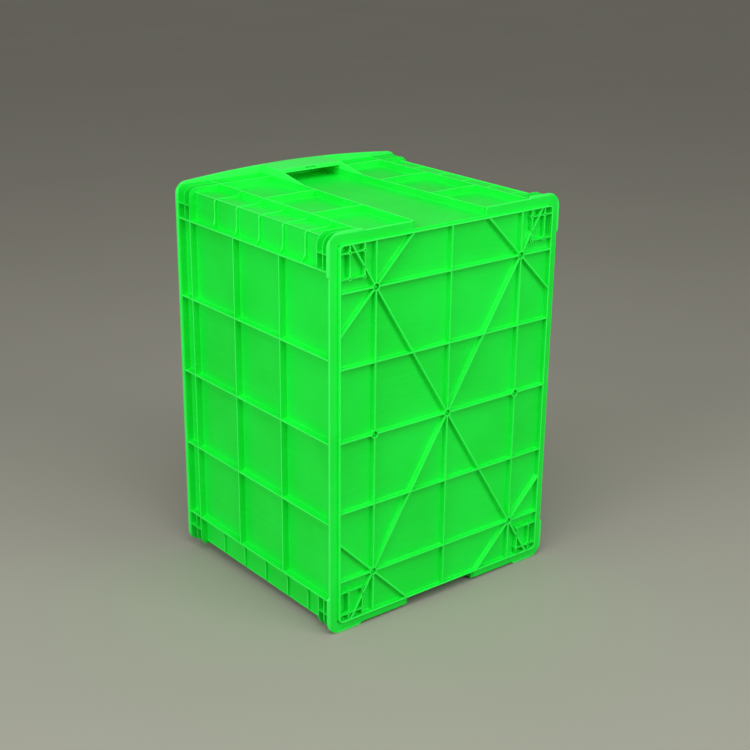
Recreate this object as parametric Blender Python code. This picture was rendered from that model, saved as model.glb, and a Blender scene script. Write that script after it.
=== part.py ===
"""Stacking storage crate in moulded green plastic, standing on one end.

The crate's length runs along Z, its width along X and its height along Y:
the ribbed underside faces -Y and the open mouth faces +Y. The origin is on
the standing surface, under the middle of the crate. The real crate is one
moulding. Here it is divided along its natural lines into closed sections.
"""
import math

import bmesh
import bpy
from mathutils import Matrix, Vector

# Driving dimensions, in metres
LENGTH = 0.620            # over the bulge of the two bowed rim ends
WIDTH = 0.430             # over the corner bumpers
HEIGHT = 0.393            # from the stacking foot to the rim face
SEAM = 0.0003             # gap between neighbouring sections
WALL = 0.0025             # wall of the container
RIB = 0.0026              # thickness of the wall ribs
THIN_RIB = 0.0018         # and of the close ribs in the corners
MERGE = 0.001             # how far joined shapes run into each other
FLANGE_LENGTH = 0.594     # base flange between the bumpers
FLANGE_THICK = 0.004
FLANGE_RADIUS = 0.022
BUMPER = 0.0032           # how far a corner bumper stands out
BUMPER_RUN = 0.059        # how far it runs from the corner
FOOT_PROUD = 0.005        # stacking foot beyond the flange
FOOT_INSET = 0.0135       # flange edge to the foot
FOOT_RADIUS = 0.008
SIDE_RECESS = 0.012       # rib tips to panel on the long walls
END_RECESS = 0.011        # rib tips to panel on the end walls
BASE_RECESS = 0.0075      # rib tips to panel on the underside
RIM_WIDTH = 0.4276
RIM_THICK = 0.0055
RIM_CLEARANCE = 0.0015    # round the foot of a crate stacked on top
RIM_BOW = 0.009           # bulge of a rim end at the middle of the width
RIM_RADIUS = 0.019
CHANNEL_AT_BASE = 0.0675  # half the width of the smooth channel in an end wall
CHANNEL_AT_RIM = 0.0585
HOOD_REACH = 0.055        # hand-hold hood, down from the rim face
HOOD_SKIN = 0.0055
HOOD_CHEEK = 0.06         # how far a hood's cheek slopes down beside the channel
EDGE_SET_BACK = 0.0075    # end face of a corner post at its sharp edge
SIDE_RIB_SET_BACK = 0.0085    # wrapped ribs of a post, behind the tips of the wall ribs
END_RIB_SET_BACK = 0.007
WRAP_RADIUS = 0.0055
RAMP_RUN = 0.010          # length over which a wrapped rib sinks from full height
FLUSH_RADIUS = 0.016      # corner of the close ribs beside the flange and the rim
CROSS_RIB = 0.027         # thin rib across the close ribs, in from the end
GATE_RADIUS = 0.006
GATE_BORE = 0.0032
GRID_X = (0.1557, 0.1809)     # thin ribs in each corner of the underside
GRID_Z = (0.2352, 0.2709)
SHORT_DIAGONAL = 0.07     # reach of a short diagonal to each side of its gate

# Places that follow from them. Heights are along Y, offsets from the middle along Z.
MIDDLE = LENGTH / 2
RIM_FACE = HEIGHT / 2
FOOT_FACE = -HEIGHT / 2
FLANGE_FACE = FOOT_FACE + FOOT_PROUD
FLANGE_TOP = FLANGE_FACE + FLANGE_THICK
RIM_UNDER = RIM_FACE - RIM_THICK
WALL_LOW = FLANGE_TOP + SEAM
WALL_HIGH = RIM_UNDER - SEAM
HALF_WIDTH = WIDTH / 2 - BUMPER
HALF_LENGTH = FLANGE_LENGTH / 2
SIDE_TIP = HALF_WIDTH - 0.0008
INNER_X = HALF_WIDTH - SIDE_RECESS - WALL
INNER_Z = HALF_LENGTH - END_RECESS - WALL
FOOT_X = HALF_WIDTH - FOOT_INSET
FOOT_Z = HALF_LENGTH - FOOT_INSET
LONG_RIBS = [FLANGE_FACE + share * FLANGE_LENGTH for share in (0.201, 0.3966, 0.594)]
WRAPPED_RIBS = [FLANGE_FACE + share * FLANGE_LENGTH for share in (0.112, 0.201, 0.299, 0.3966, 0.495)]
BASE_CLOSE_RIBS = [FLANGE_FACE + share * FLANGE_LENGTH for share in (0.027, 0.050)]
RIM_CLOSE_RIBS = [FLANGE_FACE + share * FLANGE_LENGTH for share in (0.594, 0.616)]
SIDE_POST = 0.4146 * FLANGE_LENGTH
SIDE_UPRIGHTS = [step * SIDE_POST / 2 for step in (-2, -1, 0, 1, 2)]
END_POST = 0.1554
GATE_X = 0.1358
GATE_Z = 0.3642 * FLANGE_LENGTH
ARC_STEPS = 6
FAR = 0.05                # how far a cutter runs past what it cuts


def new_collection(name):
    collection = bpy.data.collections.new(name)
    bpy.context.scene.collection.children.link(collection)
    return collection


for old in list(bpy.data.objects):
    bpy.data.objects.remove(old, do_unlink=True)

CRATE = new_collection("storage_crate")
CUTTERS = new_collection("cutters")


def make_plastic():
    """Saturated green, semi-matt polypropylene."""
    plastic = bpy.data.materials.new("green_polypropylene")
    plastic.use_nodes = True
    shader = plastic.node_tree.nodes["Principled BSDF"]
    shader.inputs["Base Color"].default_value = (0.01, 0.72, 0.05, 1)
    shader.inputs["Roughness"].default_value = 0.42
    shader.inputs["Metallic"].default_value = 0
    return plastic


PLASTIC = make_plastic()


def to_object(name, body):
    mesh = bpy.data.meshes.new(name)
    body.to_mesh(mesh)
    body.free()
    piece = bpy.data.objects.new(name, mesh)
    CUTTERS.objects.link(piece)
    piece.hide_render = True
    piece.display_type = "WIRE"
    return piece


def box(x, y, z):
    """A block between pairs of limits. z counts from the middle of the length."""
    size = [max(pair) - min(pair) for pair in (x, y, z)]
    centre = [sum(pair) / 2 for pair in (x, y, z)]
    place = Matrix.Translation(centre) @ Matrix.Diagonal((*size, 1))
    body = bmesh.new()
    bmesh.ops.create_cube(body, size=1, matrix=place)
    return to_object("block", body)


def rib_along(start, end, thick, y):
    """An upright strip between two points (x, z) of the underside."""
    run = Vector((end[0] - start[0], end[1] - start[1]))
    centre = ((start[0] + end[0]) / 2, sum(y) / 2, (start[1] + end[1]) / 2)
    turn = Matrix.Rotation(math.atan2(run.x, run.y), 4, "Y")
    place = Matrix.Translation(centre) @ turn @ Matrix.Diagonal((thick, y[1] - y[0], run.length, 1))
    body = bmesh.new()
    bmesh.ops.create_cube(body, size=1, matrix=place)
    return to_object("strip", body)


def disc(x, z, radius, y):
    """A short cylinder across the underside."""
    place = Matrix.Translation((x, sum(y) / 2, z)) @ Matrix.Rotation(math.pi / 2, 4, "X")
    body = bmesh.new()
    bmesh.ops.create_cone(body, cap_ends=True, segments=12, radius1=radius, radius2=radius,
                          depth=y[1] - y[0], matrix=place)
    return to_object("disc", body)


def flat_plate(outlines, y):
    """A flat plate between two heights: a closed outline of (x, z) points, then its hole if it has one."""
    curve = bpy.data.curves.new("plate", "CURVE")
    curve.dimensions = "2D"
    curve.fill_mode = "BOTH"
    curve.extrude = (y[1] - y[0]) / 2
    for outline in outlines:
        spline = curve.splines.new("POLY")
        spline.points.add(len(outline) - 1)
        for point, (x, z) in zip(spline.points, outline):
            point.co = (x, z, 0, 1)
        spline.use_cyclic_u = True
    flat = bpy.data.objects.new("plate", curve)
    CUTTERS.objects.link(flat)
    bpy.context.view_layer.update()
    mesh = bpy.data.meshes.new_from_object(flat.evaluated_get(bpy.context.evaluated_depsgraph_get()))
    body = bmesh.new()
    body.from_mesh(mesh)
    bmesh.ops.remove_doubles(body, verts=body.verts, dist=1e-6)
    bmesh.ops.transform(body, verts=body.verts,
                        matrix=Matrix.Translation((0, sum(y) / 2, 0)) @ Matrix.Rotation(math.pi / 2, 4, "X"))
    bmesh.ops.recalc_face_normals(body, faces=body.faces)
    bpy.data.objects.remove(flat, do_unlink=True)
    bpy.data.meshes.remove(mesh)
    return to_object("plate", body)


def combine(piece, operation, others):
    """Join others to a piece, or cut them from it, in one Boolean."""
    group = bpy.data.collections.new("operands")
    CUTTERS.children.link(group)
    for other in others:
        CUTTERS.objects.unlink(other)
        group.objects.link(other)
    boolean = piece.modifiers.new("boolean", "BOOLEAN")
    boolean.operation = operation
    boolean.operand_type = "COLLECTION"
    boolean.collection = group
    boolean.solver = "EXACT"
    bpy.context.view_layer.update()
    result = bpy.data.meshes.new_from_object(piece.evaluated_get(bpy.context.evaluated_depsgraph_get()))
    piece.modifiers.clear()
    spare = piece.data
    piece.data = result
    bpy.data.meshes.remove(spare)
    for other in others:
        bpy.data.objects.remove(other, do_unlink=True)
    bpy.data.collections.remove(group)


def finish(piece, name):
    """Name a section, raise it to its place above the ground and give it the plastic."""
    CUTTERS.objects.unlink(piece)
    CRATE.objects.link(piece)
    piece.name = name
    piece.data.name = name
    piece.hide_render = False
    piece.display_type = "TEXTURED"
    piece.location = (0, 0, MIDDLE)
    piece.data.materials.clear()
    piece.data.materials.append(PLASTIC)


def round_corner(x, z, radius, quarter):
    """Points of a quarter circle inside the corner (x, z), quarters counted anticlockwise."""
    centre = (x - math.copysign(radius, x), z - math.copysign(radius, z))
    angles = [(quarter + step / ARC_STEPS) * math.pi / 2 for step in range(ARC_STEPS + 1)]
    return [(centre[0] + radius * math.cos(a), centre[1] + radius * math.sin(a)) for a in angles]


def rounded_outline(x, z, radius):
    points = []
    for quarter, (side, end) in enumerate(((1, 1), (-1, 1), (-1, -1), (1, -1))):
        points += round_corner(side * x, end * z, radius, quarter)
    return points


def channel_edge(y):
    """Half-width of the end wall's channel at a height."""
    share = (y - FLANGE_FACE) / (RIM_FACE - FLANGE_FACE)
    return CHANNEL_AT_BASE + (CHANNEL_AT_RIM - CHANNEL_AT_BASE) * share


def make_base_panel():
    """Floor of the container with its rib lattice, moulding gates and corner grids."""
    tips = (FOOT_FACE, FOOT_FACE + BASE_RECESS + MERGE)
    plate_x = FOOT_X - WALL - SEAM
    plate_z = FOOT_Z - WALL - SEAM
    plate = (FOOT_FACE + BASE_RECESS, FOOT_FACE + BASE_RECESS + WALL)
    panel = box((-plate_x, plate_x), plate, (-plate_z, plate_z))
    ribs = [rib_along((x, -plate_z), (x, plate_z), RIB, tips) for x in (-GATE_X, 0, GATE_X)]
    ribs += [rib_along((-plate_x, z), (plate_x, z), RIB, tips)
             for z in (-GATE_Z, -GATE_Z / 2, 0, GATE_Z / 2, GATE_Z)]
    for side in (-1, 1):
        for end in (-1, 1):
            gate = (side * GATE_X, end * GATE_Z)
            reach = (plate_z + 2 * WALL) / GATE_Z
            ribs.append(rib_along((0, 0), (gate[0] * reach, gate[1] * reach), RIB, tips))
            near = (gate[0] + side * SHORT_DIAGONAL, gate[1] - end * SHORT_DIAGONAL)
            away = (gate[0] - side * SHORT_DIAGONAL, gate[1] + end * SHORT_DIAGONAL)
            ribs.append(rib_along(near, away, RIB, tips))
            ribs += [rib_along((side * x, end * GRID_Z[0]), (side * x, end * plate_z), THIN_RIB, tips)
                     for x in GRID_X]
            ribs += [rib_along((side * GRID_X[0], end * z), (side * plate_x, end * z), THIN_RIB, tips)
                     for z in GRID_Z]
    gates = [(0, 0), (GATE_X, 0), (-GATE_X, 0)]
    gates += [(side * GATE_X, end * GATE_Z) for side in (-1, 1) for end in (-1, 1)]
    ribs += [disc(x, z, GATE_RADIUS, tips) for x, z in gates]
    combine(panel, "UNION", ribs)
    footprint = rounded_outline(plate_x, plate_z, FOOT_RADIUS - WALL - SEAM)
    combine(panel, "INTERSECT", [flat_plate([footprint], (FOOT_FACE - FAR, FOOT_FACE + FAR))])
    bores = [disc(x, z, GATE_BORE, (FOOT_FACE - FAR, FOOT_FACE + BASE_RECESS - MERGE)) for x, z in gates]
    combine(panel, "DIFFERENCE", bores)
    finish(panel, "base_panel")


def make_stacking_foot():
    """Low rim round the underside that drops inside the rim of the crate below."""
    outer = rounded_outline(FOOT_X, FOOT_Z, FOOT_RADIUS)
    inner = rounded_outline(FOOT_X - WALL, FOOT_Z - WALL, FOOT_RADIUS - WALL)
    finish(flat_plate([outer, inner], (FOOT_FACE, FLANGE_TOP)), "stacking_foot")


def make_base_flange():
    """Flat shoulder round the foot, with bumpers on its corners and a notch at each channel."""
    notch_z = HALF_LENGTH - END_RECESS
    run_x = HALF_WIDTH - BUMPER_RUN
    run_z = HALF_LENGTH - BUMPER_RUN
    wide = WIDTH / 2
    high = HALF_LENGTH + BUMPER
    quarter = [(HALF_WIDTH, 0), (HALF_WIDTH, run_z - BUMPER), (wide, run_z)]
    quarter += round_corner(wide, high, FLANGE_RADIUS + BUMPER, 0)
    quarter += [(run_x, high), (run_x - BUMPER, HALF_LENGTH), (CHANNEL_AT_BASE, HALF_LENGTH)]
    quarter += [(CHANNEL_AT_BASE, notch_z)]
    half = quarter + [(-x, z) for x, z in reversed(quarter[1:])]
    outer = half + [(-x, -z) for x, z in half]
    inner = rounded_outline(FOOT_X + SEAM, FOOT_Z + SEAM, FOOT_RADIUS + SEAM)
    finish(flat_plate([outer, inner], (FLANGE_FACE, FLANGE_TOP)), "base_flange")


def make_side_wall(side, name):
    """Long wall: a panel behind five uprights and three long ribs."""
    reach = SIDE_POST + RIB / 2
    wall = box((side * INNER_X, side * SIDE_TIP), (WALL_LOW, WALL_HIGH), (-reach, reach))
    floor = side * (HALF_WIDTH - SIDE_RECESS)
    heights = [WALL_LOW - FAR] + LONG_RIBS + [WALL_HIGH + FAR]
    pockets = []
    for low, high in zip(heights, heights[1:]):
        for start, end in zip(SIDE_UPRIGHTS, SIDE_UPRIGHTS[1:]):
            pockets.append(box((floor, side * (SIDE_TIP + FAR)), (low + RIB / 2, high - RIB / 2),
                               (start + RIB / 2, end - RIB / 2)))
    combine(wall, "DIFFERENCE", pockets)
    finish(wall, name)


def lean_pocket(side, end, low, high, floor):
    """A pocket of the end wall, its inner side leaning with the channel's rib."""
    pocket = box((side * channel_edge(low), side * (END_POST - RIB / 2)), (low, high),
                 (end * floor, end * (HALF_LENGTH + FAR)))
    for vertex in pocket.data.vertices:
        if abs(vertex.co.x) < END_POST - RIB:
            vertex.co.x = side * channel_edge(vertex.co.y)
    return pocket


def make_end_wall(end, name):
    """Short wall: cells either side of a smooth channel that leads to the hand-hold."""
    reach = END_POST + RIB / 2
    floor = HALF_LENGTH - END_RECESS
    wall = box((-reach, reach), (WALL_LOW, WALL_HIGH), (end * INNER_Z, end * HALF_LENGTH))
    heights = [WALL_LOW - FAR] + LONG_RIBS + [WALL_HIGH + FAR]
    pockets = []
    for side in (-1, 1):
        for low, high in zip(heights, heights[1:]):
            pockets.append(lean_pocket(side, end, low + RIB / 2, high - RIB / 2, floor))
    channel = box((-RIB, RIB), (WALL_LOW - FAR, WALL_HIGH + FAR), (end * floor, end * (HALF_LENGTH + FAR)))
    for vertex in channel.data.vertices:
        vertex.co.x = math.copysign(channel_edge(vertex.co.y) - RIB, vertex.co.x)
    pockets.append(channel)
    combine(wall, "DIFFERENCE", pockets)
    finish(wall, name)


def make_corner_post(side, end, name):
    """Corner of the container. Its end face comes forward to a sharp edge. Short ribs wrap round it."""
    start_x = END_POST + RIB / 2 + SEAM
    start_z = SIDE_POST + RIB / 2 + SEAM
    panel_x = HALF_WIDTH - SIDE_RECESS
    rib_x = HALF_WIDTH - SIDE_RIB_SET_BACK
    rib_z = HALF_LENGTH - END_RIB_SET_BACK
    skin = [(panel_x, start_z), (panel_x, HALF_LENGTH - EDGE_SET_BACK), (start_x, HALF_LENGTH - END_RECESS)]
    wrapped = [(SIDE_TIP - WALL, start_z), (rib_x, start_z + RAMP_RUN)]
    wrapped += round_corner(rib_x, rib_z, WRAP_RADIUS, 0)
    wrapped += [(start_x + RAMP_RUN, rib_z), (start_x, HALF_LENGTH - MERGE)]
    close = [(SIDE_TIP, start_z)] + round_corner(SIDE_TIP, HALF_LENGTH, FLUSH_RADIUS, 0)
    close.append((start_x, HALF_LENGTH))

    def plate(face, y, spare):
        """Runs from the outer face to a little past the two seams, which are trimmed afterwards."""
        back_x = start_x - spare
        back_z = start_z - spare
        outline = [(back_x, back_z), (face[0][0], back_z)] + face + [(back_x, face[-1][1])]
        return flat_plate([[(side * x, end * z) for x, z in outline]], y)

    post = plate(skin, (WALL_LOW, WALL_HIGH), MERGE)
    ribs = [plate(wrapped, (y - RIB / 2, y + RIB / 2), 2 * MERGE) for y in WRAPPED_RIBS]
    ribs += [plate(close, (y - THIN_RIB / 2, y + THIN_RIB / 2), 2 * MERGE)
             for y in BASE_CLOSE_RIBS + RIM_CLOSE_RIBS]
    cross = HALF_LENGTH - CROSS_RIB
    for low, high in ((WALL_LOW - MERGE, BASE_CLOSE_RIBS[-1]), (RIM_CLOSE_RIBS[0], WALL_HIGH + MERGE)):
        ribs.append(box((side * start_x, side * (SIDE_TIP - MERGE)), (low, high),
                        (end * (cross - THIN_RIB / 2), end * (cross + THIN_RIB / 2))))
    combine(post, "UNION", ribs)
    room = box((side * start_x, side * (HALF_WIDTH + FAR)), (WALL_LOW, WALL_HIGH),
               (end * start_z, end * (HALF_LENGTH + FAR)))
    combine(post, "INTERSECT", [room])
    inside = box((side * (start_x - FAR), side * INNER_X), (WALL_LOW - FAR, WALL_HIGH + FAR),
                 (end * (start_z - FAR), end * INNER_Z))
    combine(post, "DIFFERENCE", [inside])
    finish(post, name)


def make_rim():
    """Lip round the mouth. Its two ends bow outwards over the hand-holds."""
    wide = RIM_WIDTH / 2
    corner_z = LENGTH / 2 - RIM_BOW
    bow_half = wide - RIM_RADIUS
    bow_steps = 12
    half = round_corner(wide, corner_z, RIM_RADIUS, 0)
    for step in range(1, bow_steps):
        x = bow_half * (1 - 2 * step / bow_steps)
        half.append((x, corner_z + RIM_BOW * (1 - (x / bow_half) ** 2)))
    half += round_corner(-wide, corner_z, RIM_RADIUS, 1)
    outer = half + [(-x, -z) for x, z in half]
    inner = rounded_outline(FOOT_X + RIM_CLEARANCE, FOOT_Z + RIM_CLEARANCE, FOOT_RADIUS)
    finish(flat_plate([outer, inner], (RIM_UNDER, RIM_FACE)), "rim")


def make_hand_hold(end, name):
    """Hood over the channel under the rim: fingers go up behind it."""
    low = RIM_FACE - HOOD_REACH
    back = end * (HALF_LENGTH + SEAM)
    front = end * (LENGTH / 2 - SEAM)
    half = channel_edge(low)
    hood = box((-half, half), (low, WALL_HIGH), (back, front))
    ramps = []
    for side in (-1, 1):
        ramp = box((side * (half - RIB), side * half), (low - HOOD_CHEEK, low + RIB), (back, front))
        for vertex in ramp.data.vertices:
            if vertex.co.y < low and abs(vertex.co.z) > HALF_LENGTH + 2 * SEAM:
                vertex.co.z = back + end * SEAM
        ramps.append(ramp)
    combine(hood, "UNION", ramps)
    hollow = box((-half + RIB, half - RIB), (low - FAR, WALL_HIGH - HOOD_SKIN),
                 (back - end * FAR, front - end * HOOD_SKIN))
    combine(hood, "DIFFERENCE", [hollow])
    finish(hood, name)


make_base_panel()
make_stacking_foot()
make_base_flange()
make_rim()
for side, side_name in ((-1, "left"), (1, "right")):
    make_side_wall(side, "side_wall_" + side_name)
for end, end_name in ((-1, "lower"), (1, "upper")):
    make_end_wall(end, "end_wall_" + end_name)
    make_hand_hold(end, "hand_hold_" + end_name)
    for side, side_name in ((-1, "left"), (1, "right")):
        make_corner_post(side, end, "corner_post_" + end_name + "_" + side_name)
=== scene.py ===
import math

import bmesh
import bpy
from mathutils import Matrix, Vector


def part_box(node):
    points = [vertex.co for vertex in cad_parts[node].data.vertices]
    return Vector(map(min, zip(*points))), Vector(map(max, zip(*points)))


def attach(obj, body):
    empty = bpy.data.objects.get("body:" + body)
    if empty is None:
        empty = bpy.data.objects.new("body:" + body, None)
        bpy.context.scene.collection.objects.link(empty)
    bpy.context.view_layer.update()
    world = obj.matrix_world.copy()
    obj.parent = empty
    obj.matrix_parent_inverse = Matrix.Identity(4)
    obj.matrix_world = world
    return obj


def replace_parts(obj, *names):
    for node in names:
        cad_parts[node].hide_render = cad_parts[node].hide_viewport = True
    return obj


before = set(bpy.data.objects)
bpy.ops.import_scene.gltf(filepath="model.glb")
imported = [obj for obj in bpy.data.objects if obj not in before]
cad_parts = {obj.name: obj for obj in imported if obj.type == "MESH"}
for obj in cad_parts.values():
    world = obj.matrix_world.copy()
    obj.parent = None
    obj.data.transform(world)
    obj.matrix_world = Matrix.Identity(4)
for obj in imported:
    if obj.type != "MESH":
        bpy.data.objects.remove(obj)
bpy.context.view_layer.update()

# The container: the smooth inside of the crate, which everything else stands on. The
# crate is a single moulding in green polypropylene, coloured right through, with the
# fine grain of its mould, faint flow marks, and dull scuffs where it rubs on others.
# The tips of its ribs are painted a lighter green, a painted highlight.

WALL_LOW, WALL_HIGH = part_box("side_wall_right")
END_LOW, END_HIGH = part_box("end_wall_upper")
FOOT_LOW, FOOT_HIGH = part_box("stacking_foot")
FLANGE_LOW, FLANGE_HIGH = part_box("base_flange")
RIM_LOW, RIM_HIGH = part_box("rim")
PANEL_LOW, PANEL_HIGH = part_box("base_panel")
MIDDLE = (RIM_LOW.z + RIM_HIGH.z) / 2
OVERLAP = 0.0002          # neighbouring sections run this far into each other
BUMPER = 0.0032           # how far a corner bumper stands out
SHOULDER = 0.594          # length of the base flange between its bumpers
COLUMN_X = 0.1554         # where the corner columns start, on the ends and on the sides
COLUMN_Z = MIDDLE + 0.4146 * SHOULDER
WRAP = (0.0085, 0.0068)   # how far a column's wrapped rib is set back, on the side and on the end
WRAP_RADIUS = 0.0055
TIP_HIGHLIGHT_AND_WEAR_BAND = 0.0006         # the rib tips get a painted highlight, and their scuffs, to this depth
DEEP_GREEN = (0.002, 0.74, 0.034, 1)
FULL_GREEN = (0.004, 0.82, 0.046, 1)
FLOW_GREEN = (0.010, 0.86, 0.060, 1)
# Painted highlight: the lighter green painted on the tips of the ribs, where light catches them.
TIP_HIGHLIGHT_GREEN = (0.035, 0.95, 0.100, 1)
SCUFF_GREEN = (0.22, 0.85, 0.28, 1)
SHARP = math.radians(40)     # edges that turn by more than this are rounded
CREASE = math.radians(35)    # and by more than this they stay crisp in the shading
FACING = 0.9              # a face or an edge points along an axis where its cosine is over this
CONTAINER_RADIUS = 0.008
CONTAINER_SKIN = 0.0012


class Socket:
    """One value in a material, so that sums on it are written as plain Python."""

    def __init__(self, tree, socket):
        self.tree = tree
        self.socket = socket

    def node(self, kind, settings=None, values=None, output=0):
        return add_node(self.tree, kind, settings, values, output)

    def maths(self, operation, *values):
        return self.node("ShaderNodeMath", {"operation": operation}, dict(enumerate(values)))

    def __add__(self, other):
        return self.maths("ADD", self, other)

    def __radd__(self, other):
        return self.maths("ADD", other, self)

    def __sub__(self, other):
        return self.maths("SUBTRACT", self, other)

    def __rsub__(self, other):
        return self.maths("SUBTRACT", other, self)

    def __mul__(self, other):
        return self.maths("MULTIPLY", self, other)

    def __rmul__(self, other):
        return self.maths("MULTIPLY", other, self)

    def __abs__(self):
        return self.maths("ABSOLUTE", self)

    def larger(self, other):
        return self.maths("MAXIMUM", self, other)

    def ramp(self, low, high):
        """0 below low, 1 above high, and smooth between them."""
        settings = {"interpolation_type": "SMOOTHSTEP"}
        values = {"Value": self, "From Min": low, "From Max": high}
        return self.node("ShaderNodeMapRange", settings, values)

    def mix(self, first, second):
        """First colour where this value is 0, second where it is 1."""
        return self.node("ShaderNodeMix", {"data_type": "RGBA"}, {0: self, 6: first, 7: second}, 2)

    def noise(self, scale, detail=2.0, roughness=0.5):
        values = {"Vector": self, "Scale": scale, "Detail": detail, "Roughness": roughness}
        return self.node("ShaderNodeTexNoise", None, values)


def add_node(tree, kind, settings=None, values=None, output=0):
    """Adds a node, sets its settings first and then its inputs, and returns one output."""
    node = tree.nodes.new(kind)
    for name, value in (settings or {}).items():
        setattr(node, name, value)
    for name, value in (values or {}).items():
        if isinstance(value, Socket):
            tree.links.new(value.socket, node.inputs[name])
        else:
            node.inputs[name].default_value = value
    return Socket(tree, node.outputs[output])


def make_green_plastic():
    material = bpy.data.materials.new("green_polypropylene")
    material.use_nodes = True
    tree = material.node_tree
    shader = tree.nodes["Principled BSDF"]
    place = add_node(tree, "ShaderNodeTexCoord", output=3)
    x, y, z = (place.node("ShaderNodeSeparateXYZ", None, {0: place}, axis) for axis in range(3))
    across = abs(x)
    along = abs(z - MIDDLE)
    height = y - FLANGE_LOW.y
    # Painted highlight: the outer tips of the ribs on the sides, the ends and the underside are painted
    # lighter. The same mask also holds the scuffs.
    out_side = across - (WALL_HIGH.x - TIP_HIGHLIGHT_AND_WEAR_BAND)
    out_end = along - (END_HIGH.z - MIDDLE - TIP_HIGHLIGHT_AND_WEAR_BAND)
    out_base = FOOT_LOW.y + TIP_HIGHLIGHT_AND_WEAR_BAND - y
    tip_highlight_and_wear = out_side.larger(out_end).larger(out_base).ramp(0, TIP_HIGHLIGHT_AND_WEAR_BAND)
    # The tips of the ribs wrapped round the corner columns get the same painted highlight.
    turn_x = (across - (FLANGE_HIGH.x - BUMPER - WRAP[0] - WRAP_RADIUS)).larger(0)
    turn_z = (along - (FLANGE_HIGH.z - MIDDLE - BUMPER - WRAP[1] - WRAP_RADIUS)).larger(0)
    out_turn = place.maths("SQRT", turn_x * turn_x + turn_z * turn_z) - WRAP_RADIUS
    on_end = (across - COLUMN_X).ramp(0.009, 0.010)
    on_side = (along - (COLUMN_Z - MIDDLE)).ramp(0.006, 0.007)
    on_column = on_end * on_side * height.ramp(0.032, 0.033) * (1 - height.ramp(0.350, 0.351))
    tip_highlight_and_wear = tip_highlight_and_wear.larger(out_turn.ramp(-TIP_HIGHLIGHT_AND_WEAR_BAND, -0.0001) * on_column)
    cloud = place.noise(7.0, 3.0)
    stretched = place.node("ShaderNodeMapping", None, {"Vector": place, "Scale": (9, 2, 60)})
    streaks = stretched.noise(2.5, 4.0)
    scratches = place.noise(260.0, 5.0, 0.7).ramp(0.62, 0.78) * tip_highlight_and_wear
    body = cloud.ramp(0.3, 0.7).mix(DEEP_GREEN, FULL_GREEN)
    body = (streaks.ramp(0.35, 0.75) * 0.25).mix(body, FLOW_GREEN)
    # Painted highlight: the rib tips are painted a lighter green.
    body = (tip_highlight_and_wear * 0.85).mix(body, TIP_HIGHLIGHT_GREEN)
    body = (scratches * 0.35).mix(body, SCUFF_GREEN)
    tree.links.new(body.socket, shader.inputs["Base Color"])
    dullness = 0.42 + cloud * 0.10 + scratches * 0.2
    tree.links.new(dullness.socket, shader.inputs["Roughness"])
    grain = place.noise(1400.0) * 0.00003 + place.noise(22.0) * 0.0008
    bump = grain.node("ShaderNodeBump", None, {"Height": grain, "Distance": 1.0, "Strength": 0.5})
    tree.links.new(bump.socket, shader.inputs["Normal"])
    shader.inputs["IOR"].default_value = 1.49
    shader.inputs["Specular IOR Level"].default_value = 0.3
    shader.inputs["Subsurface Weight"].default_value = 0.15
    shader.inputs["Subsurface Radius"].default_value = (0.2, 1.0, 0.3)
    shader.inputs["Subsurface Scale"].default_value = 0.004
    return material


PLASTIC = make_green_plastic()


def only(piece):
    """Makes a piece the one that operators act on."""
    bpy.ops.object.select_all(action="DESELECT")
    piece.select_set(True)
    bpy.context.view_layer.objects.active = piece


def add_block(name, low, high):
    """A cube stretched to fill a box, with its place in its mesh."""
    bpy.ops.object.select_all(action="DESELECT")
    bpy.ops.mesh.primitive_cube_add(size=1, location=[(a + b) / 2 for a, b in zip(low, high)])
    piece = bpy.context.object
    piece.name = piece.data.name = name
    piece.scale = [abs(b - a) for a, b in zip(low, high)]
    bpy.ops.object.transform_apply(location=True, rotation=False, scale=True)
    return piece


def pick(kind, test):
    """In edit mode, selects the parts of the active mesh that pass a test.

    A face is tested by its middle and normal, an edge by its middle and direction and
    a corner by its place.
    """
    bpy.ops.mesh.select_mode(type=kind)
    bpy.ops.mesh.select_all(action="DESELECT")
    mesh = bmesh.from_edit_mesh(bpy.context.object.data)
    mesh.normal_update()
    if kind == "FACE":
        chosen = [f for f in mesh.faces if test(f.calc_center_median(), f.normal)]
    elif kind == "EDGE":
        ends = [(e, e.verts[0].co, e.verts[1].co) for e in mesh.edges]
        chosen = [e for e, start, stop in ends if test((start + stop) / 2, (start - stop).normalized())]
    else:
        chosen = [v for v in mesh.verts if test(v.co)]
    for part in chosen:
        part.select_set(True)
    mesh.select_flush_mode()
    bmesh.update_edit_mesh(bpy.context.object.data)


def round_edges(test, radius, segments):
    """In edit mode, rounds the edges that pass a test."""
    pick("EDGE", test)
    bpy.ops.mesh.bevel(offset=radius, segments=segments, affect="EDGES")


def apply(piece, kind, **settings):
    """Adds a modifier to a piece and applies it."""
    only(piece)
    modifier = piece.modifiers.new("step", kind)
    for name, value in settings.items():
        setattr(modifier, name, value)
    bpy.ops.object.modifier_apply(modifier=modifier.name)


def finish(piece, *nodes, edge=0.0005, segments=2):
    """Rounds the sharp edges left, shades the piece, and gives it its plastic and its place."""
    if edge:
        apply(piece, "BEVEL", width=edge, segments=segments, limit_method="ANGLE", angle_limit=SHARP)
    only(piece)
    bpy.ops.object.shade_smooth_by_angle(angle=CREASE)
    apply(piece, "WEIGHTED_NORMAL", keep_sharp=True)
    piece.data.materials.clear()
    piece.data.materials.append(PLASTIC)
    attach(piece, "root")
    if nodes:
        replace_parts(piece, *nodes)


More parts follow.
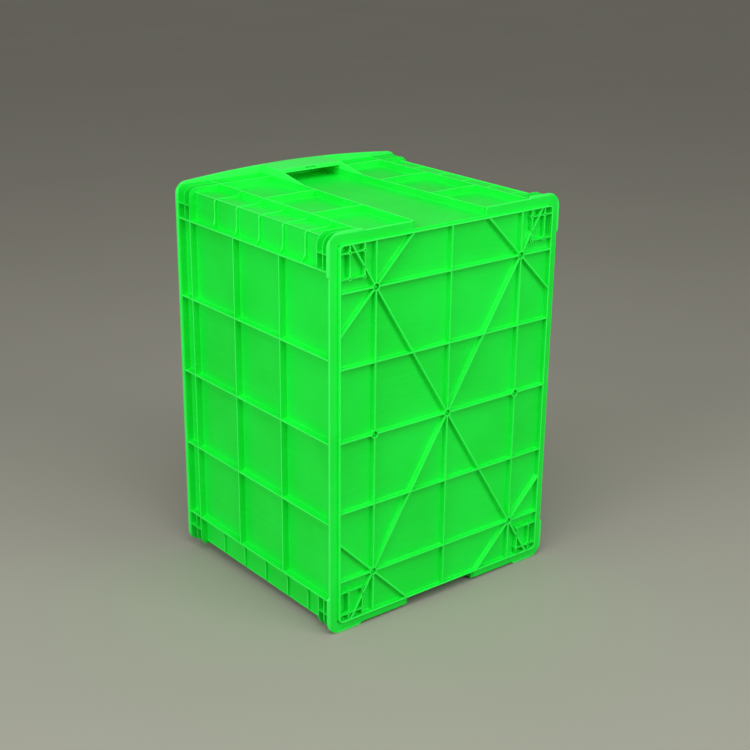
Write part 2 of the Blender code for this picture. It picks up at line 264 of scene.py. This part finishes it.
low = (-WALL_LOW.x + OVERLAP, PANEL_HIGH.y + OVERLAP, 2 * MIDDLE - END_LOW.z + OVERLAP)
container = add_block("container", low, (WALL_LOW.x - OVERLAP, RIM_LOW.y + OVERLAP, END_LOW.z - OVERLAP))
bpy.ops.object.mode_set(mode="EDIT")
round_edges(lambda middle, along: abs(along.y) > FACING or middle.y < PANEL_HIGH.y + 0.001,
            CONTAINER_RADIUS, 6)
pick("FACE", lambda middle, normal: normal.y > FACING)
bpy.ops.mesh.delete(type="FACE")
bpy.ops.object.mode_set(mode="OBJECT")
apply(container, "SOLIDIFY", thickness=CONTAINER_SKIN, offset=1)
finish(container, edge=0)


# Underside. A flat floor behind a lattice of ribs: three long ones, five across, two
# diagonals and four short cross-diagonals. All run out from the gates, where the molten
# plastic was let in, to feed the far corners.

RIB = 0.0026
DRAFT = 0.0003            # how much wider a rib is on each side at its root
GATE_X = 0.1358
GATE_Z = 0.3642 * SHOULDER
FOOT_WALL = 0.0025
TIP_Y = PANEL_LOW.y + OVERLAP
EDGE_X = FOOT_HIGH.x - FOOT_WALL + RIB / 2 + OVERLAP
EDGE_Z = FOOT_HIGH.z - MIDDLE - FOOT_WALL + RIB / 2 + OVERLAP
PANEL_RADIUS = 0.0075
PANEL_CELL = 0.0073       # depth of the cells between the ribs
PANEL_FILLET = 0.0012


def cut(point, normal, test):
    """In edit mode, divides the faces that pass a test along a plane."""
    pick("FACE", test)
    bpy.ops.mesh.bisect(plane_co=point, plane_no=normal, threshold=0.00001)


def sink_cells(test, depth, fillet):
    """In edit mode, sinks each face that passes a test, which leaves ribs between them."""
    pick("FACE", test)
    bpy.ops.mesh.inset(thickness=RIB / 2, depth=0, use_individual=True)
    bpy.ops.mesh.inset(thickness=DRAFT, depth=-depth, use_individual=True)
    bpy.ops.mesh.bevel(offset=fillet, segments=3, affect="EDGES")


def on_underside(middle, normal):
    return normal.y < -FACING and middle.y < TIP_Y + 0.0001


lattice = add_block("base_lattice", (-FOOT_HIGH.x + OVERLAP, TIP_Y, FOOT_LOW.z + OVERLAP),
                    (FOOT_HIGH.x - OVERLAP, PANEL_HIGH.y, FOOT_HIGH.z - OVERLAP))
bpy.ops.object.mode_set(mode="EDIT")
round_edges(lambda middle, along: abs(along.y) > FACING, PANEL_RADIUS, 4)
for x in (-EDGE_X, -GATE_X, 0, GATE_X, EDGE_X):
    cut((x, 0, 0), (1, 0, 0), on_underside)
for z in (-EDGE_Z, -GATE_Z, -GATE_Z / 2, 0, GATE_Z / 2, GATE_Z, EDGE_Z):
    cut((0, 0, MIDDLE + z), (0, 0, 1), on_underside)
for side in (-1, 1):
    cut((0, 0, MIDDLE), (GATE_Z, 0, side * GATE_X), on_underside)
for side in (-1, 1):
    for end in (-1, 1):

        def crossed(middle, normal):
            out = side * middle.x - GATE_X
            up = end * (middle.z - MIDDLE) - GATE_Z
            return (on_underside(middle, normal) and out * up < 0 and out > -GATE_X and up > -GATE_Z / 2
                    and out < EDGE_X - GATE_X and up < EDGE_Z - GATE_Z)

        cut((side * GATE_X, 0, MIDDLE + end * GATE_Z), (side, 0, end), crossed)
sink_cells(lambda middle, normal: on_underside(middle, normal) and abs(middle.x) < EDGE_X
           and abs(middle.z - MIDDLE) < EDGE_Z, PANEL_CELL, PANEL_FILLET)
bpy.ops.object.mode_set(mode="OBJECT")
finish(lattice, "base_panel")


# Gates. Seven rings on the crossings of the lattice. In each, the runner of molten
# plastic was broken off, which left a small nib in a sunken cup.

GATE_PLACES = {"centre": (0, 0), "middle_left": (-GATE_X, 0), "middle_right": (GATE_X, 0),
               "lower_left": (-GATE_X, -GATE_Z), "lower_right": (GATE_X, -GATE_Z),
               "upper_left": (-GATE_X, GATE_Z), "upper_right": (GATE_X, GATE_Z)}
ROOT_Y = TIP_Y + 0.0078   # rings, pegs and thin ribs end here, inside the floor
RING_RADIUS = 0.0062
RING_PROUD = 0.0003       # a ring stands out from the tips of the ribs
RING_WALL = 0.0014
CUP_RADIUS = 0.0054
CUP_DEPTH = 0.0066
CUP_FLOOR = 0.0020        # from the foot of the ring's wall to the nib
NIB_HEIGHT = 0.0042
BEYOND = 0.001            # how far a cutter starts outside what it cuts


def carve(piece, cutter):
    """Cuts another object out of a piece and removes it."""
    apply(piece, "BOOLEAN", operation="DIFFERENCE", solver="EXACT", object=cutter)
    apply(piece, "TRIANGULATE", min_vertices=5)
    bpy.data.objects.remove(cutter, do_unlink=True)


def add_peg(name, x, z, radius, low_y, high_y, vertices):
    """A short round bar across the underside."""
    bpy.ops.object.select_all(action="DESELECT")
    place = (x, (low_y + high_y) / 2, MIDDLE + z)
    bpy.ops.mesh.primitive_cylinder_add(vertices=vertices, radius=radius, depth=high_y - low_y,
                                        rotation=(math.pi / 2, 0, 0), location=place)
    peg = bpy.context.object
    peg.name = peg.data.name = name
    bpy.ops.object.transform_apply(location=True, rotation=True, scale=False)
    return peg


def copy_to(piece, name, offset):
    """A copy of a finished piece with its own mesh, moved."""
    only(piece)
    bpy.ops.object.duplicate()
    copy = bpy.context.object
    copy.name = copy.data.name = name
    copy.location = offset
    bpy.ops.object.transform_apply(location=True, rotation=False, scale=False)
    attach(copy, "root")
    return copy


gate = add_peg("gate_centre", 0, 0, RING_RADIUS, TIP_Y - RING_PROUD, ROOT_Y, 28)
bpy.ops.object.mode_set(mode="EDIT")
pick("FACE", lambda middle, normal: normal.y < -FACING)
bpy.ops.mesh.inset(thickness=RING_WALL, depth=0)
bpy.ops.mesh.inset(thickness=DRAFT, depth=-CUP_DEPTH)
bpy.ops.mesh.inset(thickness=CUP_FLOOR, depth=0)
bpy.ops.mesh.inset(thickness=DRAFT, depth=NIB_HEIGHT)
bpy.ops.object.mode_set(mode="OBJECT")
finish(gate, edge=0.0003)
for name, (x, z) in GATE_PLACES.items():
    carve(lattice, add_peg("cup", x, z, CUP_RADIUS, TIP_Y - BEYOND, TIP_Y + CUP_DEPTH + OVERLAP, 28))
    if name != "centre":
        copy_to(gate, "gate_" + name, (x, 0, z))


# Corner grids of the underside. Four thin ribs cross in each corner, and a little
# hollow peg, pushed by an ejector pin of the mould, stands on each crossing.

THIN_RIB = 0.0018
GRID_X = (0.1557, 0.1809)
GRID_Z = (0.2352, 0.2709)
PEG_RADIUS = 0.0028
BORE_RADIUS = 0.0016
BORE_DEPTH = 0.0065
DEEP_CELL = (0.005, 0.0096)   # the cells next to the foot are sunk further, between these depths
DEEP_PLACES = (((GRID_X[1] + THIN_RIB, EDGE_X - RIB), (GRID_Z[0] + THIN_RIB, EDGE_Z - RIB)),
               ((GRID_X[0] + THIN_RIB, GRID_X[1] - THIN_RIB), (GRID_Z[1] + THIN_RIB, EDGE_Z - RIB)))


def mirror_to(piece, name, side, end):
    """A copy of a finished upper right piece, mirrored to another side and end."""
    only(piece)
    bpy.ops.object.duplicate()
    copy = bpy.context.object
    copy.name = copy.data.name = name
    copy.scale = (side, 1, end)
    copy.location = (0, 0, MIDDLE * (1 - end))
    bpy.ops.object.transform_apply(location=True, rotation=False, scale=True)
    bpy.ops.object.mode_set(mode="EDIT")
    bpy.ops.mesh.select_all(action="SELECT")
    bpy.ops.mesh.normals_make_consistent(inside=False)
    bpy.ops.object.mode_set(mode="OBJECT")
    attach(copy, "root")
    return copy


def fuse(piece, others):
    """Melts other objects that run into a piece into it."""
    for other in others:
        apply(piece, "BOOLEAN", operation="UNION", solver="EXACT", object=other)
        bpy.data.objects.remove(other, do_unlink=True)
    apply(piece, "TRIANGULATE", min_vertices=5)


thin = []
for x in GRID_X:
    thin.append(add_block("thin_rib", (x - THIN_RIB / 2, TIP_Y, MIDDLE + GRID_Z[0]),
                          (x + THIN_RIB / 2, ROOT_Y, MIDDLE + EDGE_Z)))
for z in GRID_Z:
    thin.append(add_block("thin_rib", (GRID_X[0], TIP_Y + OVERLAP, MIDDLE + z - THIN_RIB / 2),
                          (EDGE_X, ROOT_Y - OVERLAP, MIDDLE + z + THIN_RIB / 2)))
pegs = [(x, z) for x in GRID_X for z in GRID_Z]
for x, z in pegs:
    thin.append(add_peg("peg", x, z, PEG_RADIUS, TIP_Y - OVERLAP, ROOT_Y + OVERLAP / 2, 14))
grid = thin[0]
grid.name = grid.data.name = "corner_grid_upper_right"
fuse(grid, thin[1:])
for x, z in pegs:
    carve(grid, add_peg("bore", x, z, BORE_RADIUS, TIP_Y - BEYOND, TIP_Y + BORE_DEPTH, 12))
for side in (-1, 1):
    for end in (-1, 1):
        for (near_x, far_x), (near_z, far_z) in DEEP_PLACES:
            low = (side * near_x, TIP_Y + DEEP_CELL[0], MIDDLE + end * near_z)
            high = (side * far_x, TIP_Y + DEEP_CELL[1], MIDDLE + end * far_z)
            carve(lattice, add_block("deep_cell", low, high))
finish(grid, edge=0.0002)
mirror_to(grid, "corner_grid_upper_left", -1, 1)
mirror_to(grid, "corner_grid_lower_right", 1, -1)
mirror_to(grid, "corner_grid_lower_left", -1, -1)


# Stacking foot. A low upright rim round the underside, which drops into the mouth of
# the crate below when crates are stacked.

FOOT_RADIUS = 0.008
RUN_IN = 0.002            # how far the foot and the walls run on into the flange and the rim
CLEAR = 0.01              # how far a cutting block reaches past what it cuts


def rounded_block(name, low, high, radius, segments=8):
    """A block whose upright edges, those along the crate's height, are rounded."""
    block = add_block(name, low, high)
    bpy.ops.object.mode_set(mode="EDIT")
    round_edges(lambda middle, along: abs(along.y) > FACING, radius, segments)
    bpy.ops.object.mode_set(mode="OBJECT")
    return block


high = (FOOT_HIGH.x, FLANGE_HIGH.y + RUN_IN, FOOT_HIGH.z)
foot = rounded_block("foot_rim", FOOT_LOW, high, FOOT_RADIUS)
low = (FOOT_LOW.x + FOOT_WALL, FOOT_LOW.y - CLEAR, FOOT_LOW.z + FOOT_WALL)
high = (FOOT_HIGH.x - FOOT_WALL, FLANGE_HIGH.y + CLEAR, FOOT_HIGH.z - FOOT_WALL)
carve(foot, rounded_block("foot_hole", low, high, FOOT_RADIUS - FOOT_WALL))
finish(foot, "stacking_foot", edge=0.0008, segments=3)


# Base flange. The flat shoulder that the foot stands on and that rests on the rim of the
# crate below. Its corners stand out as bumpers, and it is cut away for the two channels.

BUMPER_RUN = 0.059
FLANGE_RADIUS = 0.022
CHANNEL_AT_BASE = 0.0675  # half the channel's width
CHANNEL_AT_RIM = 0.0585
CHANNEL_CORNER = 0.002
END_DEPTH = 0.011         # from the tips of the ribs to the panel on the short walls
END_PANEL_Z = END_HIGH.z - END_DEPTH
FOOT_COVER = 0.001        # the foot covers the edge of the flange's hole by this much


def arc(centre, radius, start, stop, steps):
    """Points (x, z) along a circle between two angles in degrees."""
    angles = [math.radians(start + (stop - start) * step / steps) for step in range(steps + 1)]
    return [(centre[0] + radius * math.cos(a), centre[1] + radius * math.sin(a)) for a in angles]


def add_plate(name, outline, low_y, high_y):
    """A flat plate: one corner is extruded from point to point, filled, and given its thickness."""
    bpy.ops.object.select_all(action="DESELECT")
    bpy.ops.mesh.primitive_plane_add(size=0.01, location=(outline[0][0], low_y, outline[0][1]))
    piece = bpy.context.object
    piece.name = piece.data.name = name
    bpy.ops.object.transform_apply(location=True, rotation=False, scale=False)
    bpy.ops.object.mode_set(mode="EDIT")
    bpy.ops.mesh.select_mode(type="VERT")
    bpy.ops.mesh.select_all(action="SELECT")
    bpy.ops.mesh.merge(type="CENTER")
    for (x, z), (next_x, next_z) in zip(outline, outline[1:]):
        bpy.ops.mesh.extrude_region_move(TRANSFORM_OT_translate={"value": (next_x - x, 0, next_z - z)})
    bpy.ops.mesh.select_all(action="SELECT")
    bpy.ops.mesh.edge_face_add()
    bpy.ops.mesh.extrude_region_move(TRANSFORM_OT_translate={"value": (0, high_y - low_y, 0)})
    bpy.ops.mesh.select_all(action="SELECT")
    bpy.ops.mesh.normals_make_consistent(inside=False)
    bpy.ops.object.mode_set(mode="OBJECT")
    return piece


wide = FLANGE_HIGH.x
high = FLANGE_HIGH.z - MIDDLE
quarter = [(wide - BUMPER, high - BUMPER_RUN - BUMPER), (wide, high - BUMPER_RUN)]
quarter += arc((wide - FLANGE_RADIUS, high - FLANGE_RADIUS), FLANGE_RADIUS, 0, 90, 10)
quarter += [(wide - BUMPER_RUN, high), (wide - BUMPER_RUN - BUMPER, high - BUMPER)]
quarter += [(CHANNEL_AT_BASE + CHANNEL_CORNER, high - BUMPER),
            (CHANNEL_AT_BASE, high - BUMPER - CHANNEL_CORNER)]
quarter += [(CHANNEL_AT_BASE, END_PANEL_Z - MIDDLE)]
half = quarter + [(-x, z) for x, z in reversed(quarter)]
outline = [(x, MIDDLE + z) for x, z in half + [(-x, -z) for x, z in half]]
flange = add_plate("base_shoulder", outline, FLANGE_LOW.y, FLANGE_HIGH.y)
carve(flange, add_block("flange_hole", (-FOOT_HIGH.x + FOOT_COVER, -1, FOOT_LOW.z + FOOT_COVER),
                        (FOOT_HIGH.x - FOOT_COVER, 1, FOOT_HIGH.z - FOOT_COVER)))
finish(flange, "base_flange", edge=0.0011, segments=3)


# Long walls. A panel behind five uprights and three long ribs, whose tips line up with
# the shoulder under them.

LONG_RIB_Y = [FLANGE_LOW.y + share * SHOULDER for share in (0.201, 0.3966, 0.594)]
UPRIGHT_Z = [step * (COLUMN_Z - MIDDLE) / 2 for step in (-2, -1, 0, 1, 2)]
CELL_Y = [FLANGE_HIGH.y - RIB / 2 - OVERLAP] + LONG_RIB_Y + [RIM_LOW.y + RIB / 2 + OVERLAP]
SIDE_CELL = 0.0112        # depth of the cells between the ribs
WALL_FILLET = 0.0015


def make_long_wall(side, name, node):
    faces_x = sorted((side * WALL_LOW.x, side * WALL_HIGH.x))
    wall = add_block(name, (faces_x[0], FLANGE_HIGH.y - RUN_IN, WALL_LOW.z),
                     (faces_x[1], RIM_LOW.y + RUN_IN, WALL_HIGH.z))

    def on_face(middle, normal):
        return side * normal.x > FACING

    bpy.ops.object.mode_set(mode="EDIT")
    for y in CELL_Y:
        cut((0, y, 0), (0, 1, 0), on_face)
    for z in UPRIGHT_Z:
        cut((0, 0, MIDDLE + z), (0, 0, 1), on_face)
    sink_cells(lambda middle, normal: on_face(middle, normal) and abs(middle.z - MIDDLE) < UPRIGHT_Z[-1]
               and CELL_Y[0] < middle.y < CELL_Y[-1], SIDE_CELL, WALL_FILLET)
    bpy.ops.object.mode_set(mode="OBJECT")
    finish(wall, node)


make_long_wall(-1, "long_wall_left", "side_wall_left")
make_long_wall(1, "long_wall_right", "side_wall_right")


# Short walls. Cells on either side of a smooth channel, which narrows towards the rim
# and leads a hand up into the hand-hold.


def channel_rib(y):
    """Distance from the middle to the rib beside the channel, at a height."""
    share = (y - FLANGE_LOW.y) / (RIM_HIGH.y - FLANGE_LOW.y)
    return CHANNEL_AT_BASE + (CHANNEL_AT_RIM - CHANNEL_AT_BASE) * share - RIB / 2


def make_short_wall(end, name, node):
    faces_z = sorted((MIDDLE + end * (END_LOW.z - MIDDLE), MIDDLE + end * (END_HIGH.z - MIDDLE)))
    wall = add_block(name, (END_LOW.x, FLANGE_HIGH.y - RUN_IN, faces_z[0]),
                     (END_HIGH.x, RIM_LOW.y + RUN_IN, faces_z[1]))
    lean = (channel_rib(RIM_LOW.y) - channel_rib(FLANGE_LOW.y)) / (RIM_LOW.y - FLANGE_LOW.y)

    def on_face(middle, normal):
        return end * normal.z > FACING

    bpy.ops.object.mode_set(mode="EDIT")
    for y in (CELL_Y[0], CELL_Y[-1]):
        cut((0, y, 0), (0, 1, 0), on_face)
    for side in (-1, 1):
        cut((side * COLUMN_X, 0, 0), (1, 0, 0), on_face)
        cut((side * channel_rib(0), 0, 0), (1, -side * lean, 0), on_face)
    for y in LONG_RIB_Y:
        cut((0, y, 0), (0, 1, 0), lambda middle, normal: on_face(middle, normal)
            and abs(middle.x) > channel_rib(middle.y))
    sink_cells(lambda middle, normal: on_face(middle, normal) and abs(middle.x) < COLUMN_X
               and CELL_Y[0] < middle.y < CELL_Y[-1], END_DEPTH, WALL_FILLET)
    bpy.ops.object.mode_set(mode="OBJECT")
    half_notch = CHANNEL_AT_BASE - RIB
    low = (-half_notch, FLANGE_LOW.y - CLEAR, MIDDLE + end * (END_PANEL_Z - MIDDLE + OVERLAP))
    high = (half_notch, FLANGE_HIGH.y + RIB, MIDDLE + end * (END_HIGH.z - MIDDLE + CLEAR))
    carve(wall, add_block("notch", low, high))
    finish(wall, node)


make_short_wall(-1, "short_wall_lower", "end_wall_lower")
make_short_wall(1, "short_wall_upper", "end_wall_upper")


# Corner columns. The end skin of each comes forward to a sharp edge that runs up the
# corner. Short ribs wrap round it, set back between the long walls' tips. Beside the
# shoulder and the rim the ribs are thin, close and flush, with one more across them.

SHOULDER_X = FLANGE_HIGH.x - BUMPER
SHOULDER_Z = FLANGE_HIGH.z - BUMPER
SKIN = 0.0025
SIDE_DEPTH = 0.012        # from the tips of the ribs to the skin, on the side
EDGE_DEPTH = 0.0068       # and to the sharp edge, on the end
SKIN_RADIUS = 0.007
BASE_TURN = (0.0008, 0.0002, 0.018)   # close ribs: depths on the side and on the end, and radius
RIM_TURN = (0.0015, 0.0002, 0.0135)
CROSS_RIB = 0.028         # the thin cross rib, in from the end
SKIN_LAP = 0.001          # how far a skin runs on into the flange, the rim and the ribs
WRAPPED_Y = [FLANGE_LOW.y + share * SHOULDER for share in (0.112, 0.201, 0.299, 0.3966, 0.495)]
CLOSE_Y = [FLANGE_LOW.y + share * SHOULDER for share in (0.027, 0.050, 0.594, 0.616)]


def corner_plate(name, face, thick, low_y, high_y):
    """A plate round the corner. Its face is given as depths from the shoulder's side and end."""
    outline = [(SHOULDER_X - side, SHOULDER_Z - end) for side, end in face]
    back_x = SHOULDER_X - SIDE_DEPTH - thick
    back_z = SHOULDER_Z - END_DEPTH - thick
    outline += [(outline[-1][0], back_z), (back_x, back_z), (back_x, outline[0][1])]
    return add_plate(name, outline, low_y, high_y)


def turn(side, end, radius):
    """Depths along a rounded corner that joins a side face to an end face."""
    return [(2 * side - x, 2 * end - z) for x, z in arc((side - radius, end - radius), radius, 0, 90, 8)]


def make_column(name):
    """The upper right column. Each outline goes round from the side to the end.

    The skin is smooth beside the flange and the rim, and edged between them. A wrapped
    rib has a ramp at each of its ends, and the close ribs are flush.
    """
    start = SHOULDER_Z - COLUMN_Z
    stop = SHOULDER_X - COLUMN_X
    smooth = [(SIDE_DEPTH + OVERLAP, start)] + turn(SIDE_DEPTH + OVERLAP, END_DEPTH, SKIN_RADIUS)
    smooth += [(stop, END_DEPTH)]
    edged = [(SIDE_DEPTH, start), (SIDE_DEPTH, EDGE_DEPTH + 0.0012),
             (SIDE_DEPTH - 0.0010, EDGE_DEPTH + 0.0008), (SIDE_DEPTH - 0.0008, EDGE_DEPTH - 0.0004),
             (SIDE_DEPTH + 0.0008, EDGE_DEPTH - 0.0004), (SIDE_DEPTH + 0.0018, EDGE_DEPTH + 0.0012),
             (stop, END_DEPTH)]
    wrapped = [(0.0014, start), (0.0024, start - 0.0014), (0.0056, start - 0.0055),
               (0.0072, start - 0.0095), (WRAP[0], start - 0.015)]
    wrapped += turn(*WRAP, WRAP_RADIUS)
    wrapped += [(stop - 0.011, WRAP[1]), (stop - 0.0075, WRAP[1] - 0.0006), (stop - 0.0045, 0.0036),
                (stop - 0.002, 0.0010), (stop, 0.0003)]
    base_close = [(BASE_TURN[0], start)] + turn(*BASE_TURN) + [(stop, BASE_TURN[1])]
    rim_close = [(0.0010, start)] + turn(*RIM_TURN) + [(stop, RIM_TURN[1])]
    column = corner_plate(name, edged, SKIN, CLOSE_Y[1], CLOSE_Y[2])
    foot_end = (FLANGE_HIGH.y - SKIN_LAP, CLOSE_Y[1])
    rim_end = (CLOSE_Y[2], RIM_LOW.y + SKIN_LAP)
    parts = [corner_plate("skin", smooth, SKIN - OVERLAP, foot_end[0], foot_end[1] + OVERLAP),
             corner_plate("skin", smooth, SKIN - OVERLAP, rim_end[0] - OVERLAP, rim_end[1])]
    for y in WRAPPED_Y:
        parts.append(corner_plate("rib", wrapped, SKIN / 2, y - RIB / 2, y + RIB / 2))
    for y, face, thick in zip(CLOSE_Y, (base_close, base_close, rim_close, rim_close),
                              (THIN_RIB, THIN_RIB, RIB, THIN_RIB)):
        parts.append(corner_plate("rib", face, SKIN / 2, y - thick / 2, y + thick / 2))
    for low_y, high_y in (foot_end, rim_end):
        low = (SHOULDER_X - SIDE_DEPTH - SKIN_LAP, low_y, SHOULDER_Z - CROSS_RIB)
        high = (SHOULDER_X - 0.0013, high_y, SHOULDER_Z - CROSS_RIB + THIN_RIB)
        parts.append(add_block("rib", low, high))
    fuse(column, parts)
    return column


column = make_column("column_upper_right")
finish(column, "corner_post_upper_right", edge=0.0004)
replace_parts(mirror_to(column, "column_upper_left", -1, 1), "corner_post_upper_left")
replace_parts(mirror_to(column, "column_lower_right", 1, -1), "corner_post_lower_right")
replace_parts(mirror_to(column, "column_lower_left", -1, -1), "corner_post_lower_left")


# Rim. The flat lip round the mouth, which stiffens the walls and carries the crate
# stacked on top. Its two ends bow outwards over the hand-holds.

RIM_RADIUS = 0.019
RIM_BOW = 0.009
BOW_STEPS = 24            # straight steps that make up the bow
MOUTH_X = 0.1998          # half the mouth's width and length
MOUTH_Z = 0.285
MOUTH_RADIUS = 0.008

wide = RIM_HIGH.x
corner_z = RIM_HIGH.z - MIDDLE - RIM_BOW
bow_half = wide - RIM_RADIUS
half = arc((bow_half, corner_z - RIM_RADIUS), RIM_RADIUS, 0, 84, 8)
for step in range(BOW_STEPS):
    x = bow_half * (1 - (step + 0.5) * 2 / BOW_STEPS)
    half.append((x, corner_z + RIM_BOW * (1 - (x / bow_half) ** 2)))
half += arc((-bow_half, corner_z - RIM_RADIUS), RIM_RADIUS, 96, 180, 8)
outline = [(x, MIDDLE + z) for x, z in half + [(-x, -z) for x, z in half]]
rim = add_plate("mouth_rim", outline, RIM_LOW.y, RIM_HIGH.y)
carve(rim, rounded_block("mouth", (-MOUTH_X, 0, MIDDLE - MOUTH_Z), (MOUTH_X, 1, MIDDLE + MOUTH_Z),
                         MOUTH_RADIUS))
finish(rim, "rim", edge=0.0012, segments=3)


# Hand-holds. A hood over the top of each channel, flush with the bow of the rim, which
# the fingers go up behind. Its thick lip has a small slot, and its cheeks run down into
# the ribs of the channel.

HOOD_LOW = RIM_HIGH.y - 0.055
HOOD_SKIN = 0.0055
HOOD_LIP = 0.0012         # the hood is this much thicker than its skin
HOOD_SET_BACK = 0.0002    # its top, behind the bow of the rim
CHEEK_SET_BACK = 0.0004
CHEEK_RUN = 0.06          # how far a cheek slopes down beside the channel
CHEEK_ROOT = 0.012        # and how deep it stands between the ribs
SLOT_HALF = 0.010
SLOT_DEPTH = 0.004
SLOT = (0.0018, 0.0036)   # from the hood's inner face to the two edges of the slot
hood_half = channel_rib(HOOD_LOW) + RIB / 2


def bow(x):
    """The rim's outer edge over a place across the end."""
    return RIM_HIGH.z - RIM_BOW * (x / bow_half) ** 2


def make_hood(name):
    across = [hood_half * (1 - step / 6) for step in range(13)]
    outline = [(x, bow(x) - HOOD_SET_BACK) for x in across]
    outline += [(x, bow(0) - HOOD_SKIN - HOOD_LIP) for x in (-hood_half, hood_half)]
    hood = add_plate(name, outline, HOOD_LOW, RIM_LOW.y + 0.001)
    carve(hood, add_block("slot", (-SLOT_HALF, HOOD_LOW - CLEAR, bow(0) - HOOD_SKIN + SLOT[0]),
                          (SLOT_HALF, HOOD_LOW + SLOT_DEPTH, bow(0) - HOOD_SKIN + SLOT[1])))
    cheeks = []
    for side in (-1, 1):
        faces_x = sorted((side * (hood_half - RIB), side * (hood_half - OVERLAP)))
        cheek = add_block("cheek", (faces_x[0], HOOD_LOW - CHEEK_RUN, END_HIGH.z - CHEEK_ROOT),
                          (faces_x[1], RIM_LOW.y + 0.0008, bow(hood_half) - CHEEK_SET_BACK))
        bpy.ops.object.mode_set(mode="EDIT")
        cut((0, HOOD_LOW + 0.001, 0), (0, 1, 0), lambda middle, normal: True)
        pick("VERT", lambda place: place.y < HOOD_LOW - 0.01 and place.z > END_HIGH.z)
        bpy.ops.transform.translate(value=(0, 0, END_HIGH.z - bow(hood_half) + CHEEK_SET_BACK))
        bpy.ops.object.mode_set(mode="OBJECT")
        cheeks.append(cheek)
    fuse(hood, cheeks)
    return hood


hood = make_hood("hand_hold_hood_upper")
finish(hood, "hand_hold_upper", edge=0.0008, segments=3)
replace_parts(mirror_to(hood, "hand_hold_hood_lower", 1, -1), "hand_hold_lower")


# Studio. The crate stands on its end on a pale floor, on the middle of its lower rim and
# on two bumpers, so it leans a little, and the floor is tilted to it. One large soft light
# hangs above it, one stands on the left and a weaker one in front of its underside.

LEAN = math.atan(FLANGE_LOW.z / (RIM_HIGH.y - FLANGE_LOW.y))
FLOOR_SIZE = 60
PALE_GREYS = ((0.29, 0.285, 0.245, 1), (0.32, 0.315, 0.27, 1))
WHITE = (1, 1, 1)
WARM_WHITE = (1, 0.99, 0.97)
LIGHT_SIZE = 1.8

bpy.ops.object.select_all(action="DESELECT")
bpy.ops.mesh.primitive_grid_add(x_subdivisions=40, y_subdivisions=40, size=FLOOR_SIZE)
floor = bpy.context.object
floor.name = floor.data.name = "studio_floor"
bpy.ops.object.mode_set(mode="EDIT")
bpy.ops.mesh.select_all(action="SELECT")
bpy.ops.transform.rotate(value=LEAN, orient_axis="X", center_override=(0, RIM_HIGH.y, 0))
bpy.ops.object.mode_set(mode="OBJECT")
paper = bpy.data.materials.new("pale_backdrop")
paper.use_nodes = True
shader = paper.node_tree.nodes["Principled BSDF"]
place = add_node(paper.node_tree, "ShaderNodeTexCoord", output=3)
tone = place.noise(1.5, 3.0).mix(*PALE_GREYS)
paper.node_tree.links.new(tone.socket, shader.inputs["Base Color"])
shader.inputs["Roughness"].default_value = 0.8
floor.data.materials.append(paper)


def add_area_light(name, place, power, colour):
    """A large round soft light, aimed at the middle of the crate."""
    light = bpy.data.lights.new(name, "AREA")
    light.shape = "DISK"
    light.size = LIGHT_SIZE
    light.energy = power
    light.color = colour
    lamp = bpy.data.objects.new(name, light)
    bpy.context.scene.collection.objects.link(lamp)
    lamp.location = place
    lamp.rotation_euler = (Vector((0, 0, MIDDLE)) - Vector(place)).to_track_quat("-Z", "Y").to_euler()


add_area_light("soft_top", (-0.9, -1.3, 2.6), 37, WARM_WHITE)
add_area_light("soft_left", (-2.6, -0.4, 1.6), 42, WHITE)
add_area_light("soft_front", (0.5, -2.6, 1.7), 34, WHITE)

world = bpy.data.worlds.new("studio")
world.use_nodes = True
bpy.context.scene.world = world
back = world.node_tree.nodes["Background"]
back.inputs["Color"].default_value = (0.78, 0.76, 0.72, 1)
back.inputs["Strength"].default_value = 0.42
bpy.context.scene.view_settings.view_transform = "Standard"

camera_data = bpy.data.cameras.new("camera")
camera_data.lens = 66.545
camera_data.sensor_width = 36
camera_data.clip_end = 50
camera = bpy.data.objects.new("camera", camera_data)
bpy.context.scene.collection.objects.link(camera)
camera.location = (-1.2619, -1.6023, 1.0654)
camera.rotation_euler = [math.radians(angle) for angle in (69.707, -0.571, -38.452)]
bpy.context.scene.camera = camera
